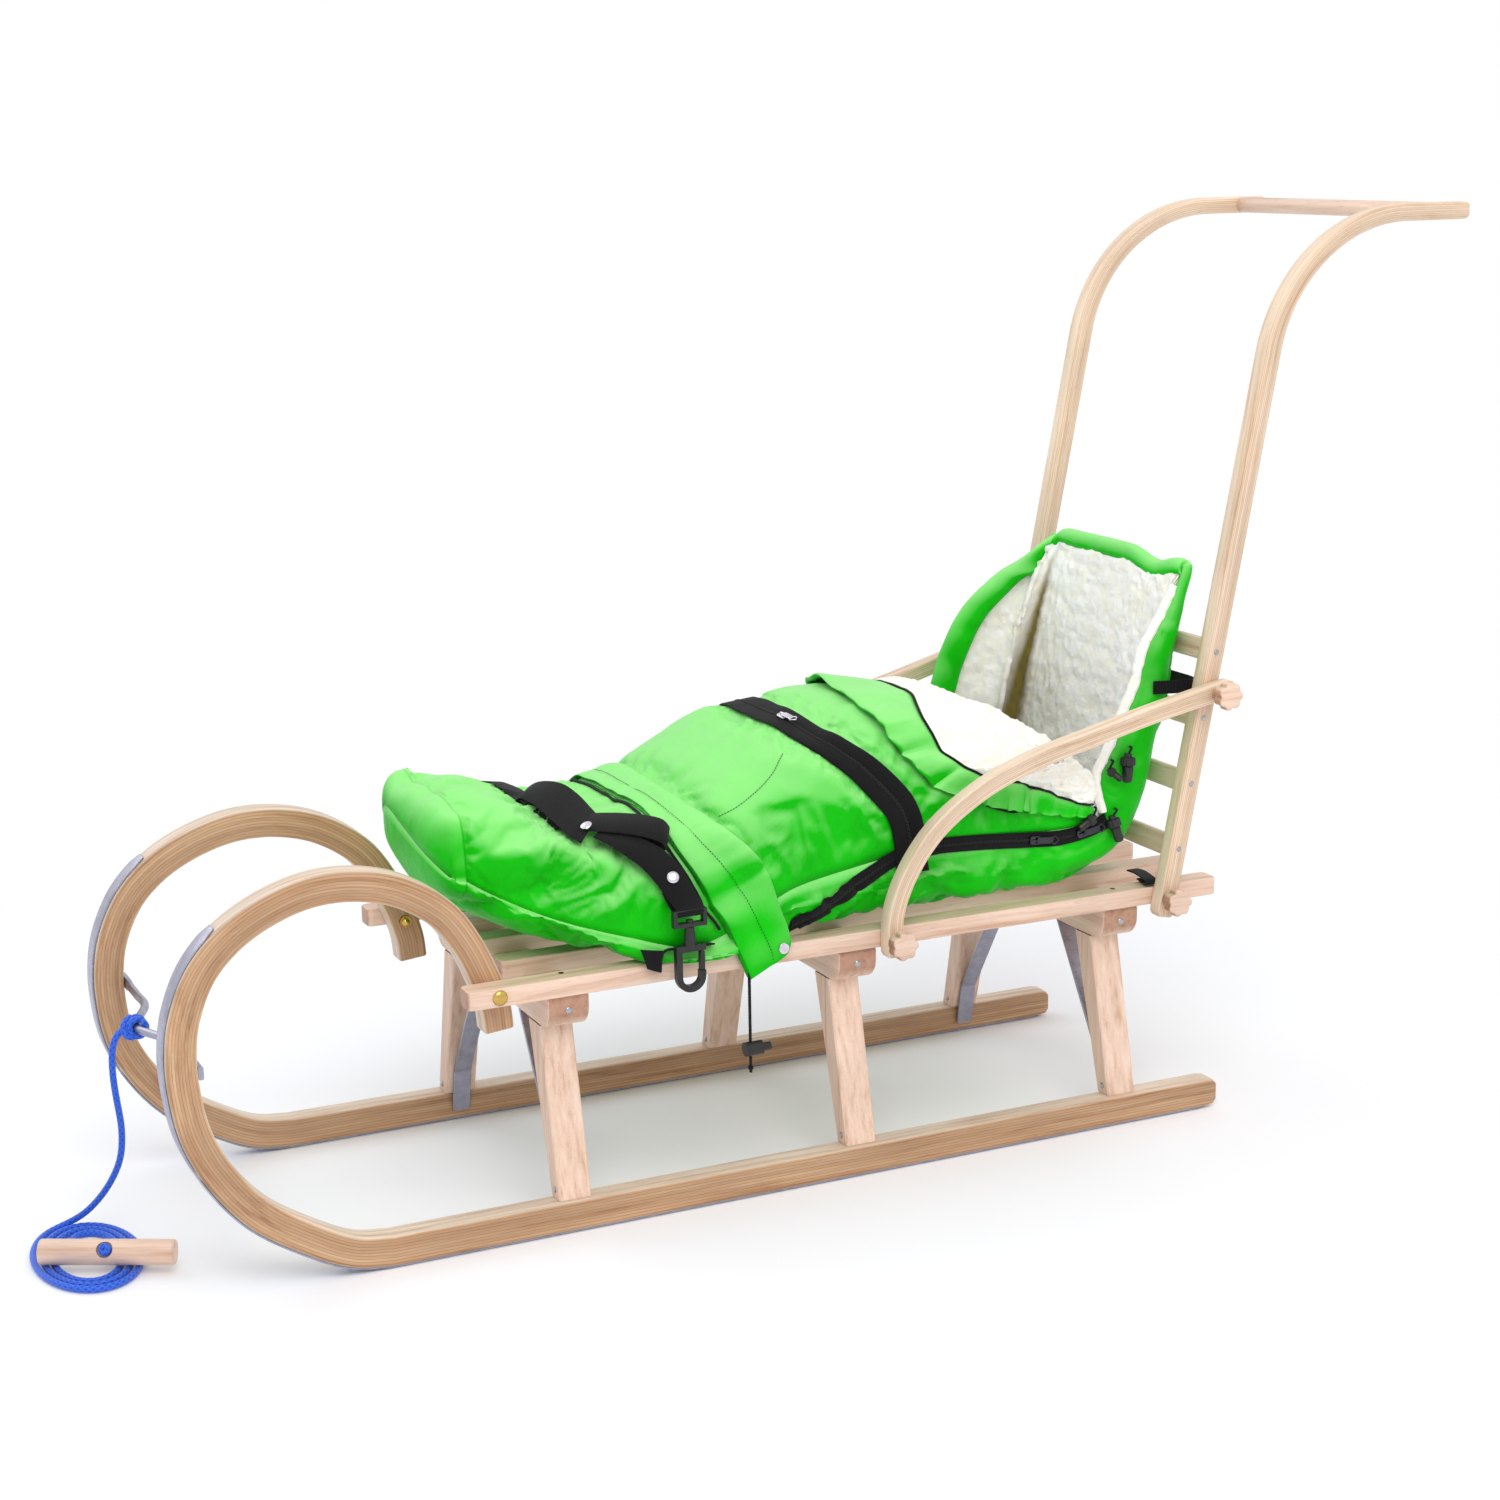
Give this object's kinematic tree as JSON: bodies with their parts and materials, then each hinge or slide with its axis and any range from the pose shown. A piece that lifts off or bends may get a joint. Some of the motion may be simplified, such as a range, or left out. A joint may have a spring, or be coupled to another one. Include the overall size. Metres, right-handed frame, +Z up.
{
  "type": "baby pull sled",
  "caption": "Wooden pull sled with steam-bent curled horns, slatted seat, push handle with backrest and armrests, padded footmuff with fleece hood, and a pull rope with a toggle.",
  "frame": {"origin": "on the ground below the middle of the sled, midway between the front of the horns and the rear ends of the grips, on the middle plane", "axes": "+Z up; -Y forwards, the way the horns point; +X to the sled's left side, which carries the snap hook and the drawcord"},
  "size_m": [0.4472, 1.49, 0.9304],
  "materials": {
    "beech": "clear lacquered beech, satin",
    "laminate": "steam-bent laminated beech, satin lacquer",
    "knob_wood": "turned pale wood, satin",
    "steel": "zinc plated, satin",
    "brass": "brass plated, polished",
    "green_fabric": "coated woven polyester, soft sheen",
    "fleece": "deep pile fleece",
    "webbing": "ribbed black webbing",
    "black_plastic": "moulded, semi-gloss",
    "black_cord": "braided cord",
    "rope": "braided polypropylene rope"
  },
  "bodies": {
    "sled": {"runner_left": "laminate", "runner_shoe_left": "steel", "runner_right": "laminate", "runner_shoe_right": "steel", "leg_rear_left": "beech", "leg_rear_right": "beech", "crossbeam_rear": "beech", "leg_middle_left": "beech", "leg_middle_right": "beech", "crossbeam_middle": "beech", "leg_front_left": "beech", "leg_front_right": "beech", "crossbeam_front": "beech", "brace_rear_left": "steel", "brace_rear_right": "steel", "brace_front_left": "steel", "brace_front_right": "steel", "seat_slat_outer_left": "beech", "seat_slat_inner_left": "beech", "horn_bolt_left": "brass", "handle_post_left": "laminate", "armrest_left": "laminate", "seat_slat_outer_right": "beech", "seat_slat_inner_right": "beech", "horn_bolt_right": "brass", "handle_post_right": "laminate", "armrest_right": "laminate", "seat_slat_middle": "beech", "tow_bar": "steel", "handle_dowel": "beech", "back_slat_lowest": "beech", "back_slat_lower": "beech", "back_slat_upper": "beech", "back_slat_top": "beech", "bolt_post_lower_left": "steel", "bolt_post_lower_right": "steel", "bolt_arm_front_left": "steel", "bolt_arm_front_right": "steel", "bolt_arm_rear_left": "steel", "bolt_arm_rear_right": "steel", "footmuff_shell": "green_fabric", "footmuff_lining": "fleece", "cuff_band": "green_fabric", "foot_strap": "webbing", "snap_eye": "black_plastic", "drawcord": "black_cord", "cord_lock": "black_plastic", "rope_knot": "rope", "pull_rope": "rope", "rope_coil": "rope", "toggle_handle": "knob_wood"},
    "knob_post_lower_left": {"knob_post_lower_left": "knob_wood"},
    "knob_post_lower_right": {"knob_post_lower_right": "knob_wood"},
    "knob_arm_front_left": {"knob_arm_front_left": "knob_wood"},
    "knob_arm_front_right": {"knob_arm_front_right": "knob_wood"},
    "knob_arm_rear_left": {"knob_arm_rear_left": "knob_wood"},
    "knob_arm_rear_right": {"knob_arm_rear_right": "knob_wood"},
    "snap_hook": {"snap_hook": "black_plastic"},
    "snap_gate": {"snap_gate": "black_plastic"},
    "cord_lock_button": {"cord_lock_button": "black_plastic"}
  },
  "joints": [
    {"name": "knob_post_lower_left_spin", "type": "hinge", "parent": "sled", "child": "knob_post_lower_left", "pos_m": [0.19435, 0.34163, 0.23785], "axis": [1, 0, 0], "continuous": true},
    {"name": "knob_post_lower_right_spin", "type": "hinge", "parent": "sled", "child": "knob_post_lower_right", "pos_m": [-0.19435, 0.34163, 0.23785], "axis": [1, 0, 0], "continuous": true},
    {"name": "knob_arm_front_left_spin", "type": "hinge", "parent": "sled", "child": "knob_arm_front_left", "pos_m": [0.19435, 0.02383, 0.23785], "axis": [1, 0, 0], "continuous": true},
    {"name": "knob_arm_front_right_spin", "type": "hinge", "parent": "sled", "child": "knob_arm_front_right", "pos_m": [-0.19435, 0.02383, 0.23785], "axis": [1, 0, 0], "continuous": true},
    {"name": "knob_arm_rear_left_spin", "type": "hinge", "parent": "sled", "child": "knob_arm_rear_left", "pos_m": [0.21307, 0.38479, 0.45191], "axis": [1, 0, 0], "continuous": true},
    {"name": "knob_arm_rear_right_spin", "type": "hinge", "parent": "sled", "child": "knob_arm_rear_right", "pos_m": [-0.21307, 0.38479, 0.45191], "axis": [1, 0, 0], "continuous": true},
    {"name": "hook_swivel", "type": "hinge", "parent": "sled", "child": "snap_hook", "pos_m": [0.183, -0.19617, 0.2935], "axis": [0, 0, 1], "continuous": true},
    {"name": "gate_hinge", "type": "hinge", "parent": "snap_hook", "child": "snap_gate", "pos_m": [0.183, -0.18417, 0.2584], "axis": [-1, 0, 0], "range_deg": [0, 25], "stiffness_Nm_per_rad": 0.02},
    {"name": "lock_button_press", "type": "slide", "parent": "sled", "child": "cord_lock_button", "axis": [0, -1, 0], "range_m": [0, 0.0035], "stiffness_N_per_m": 150}
  ]
}
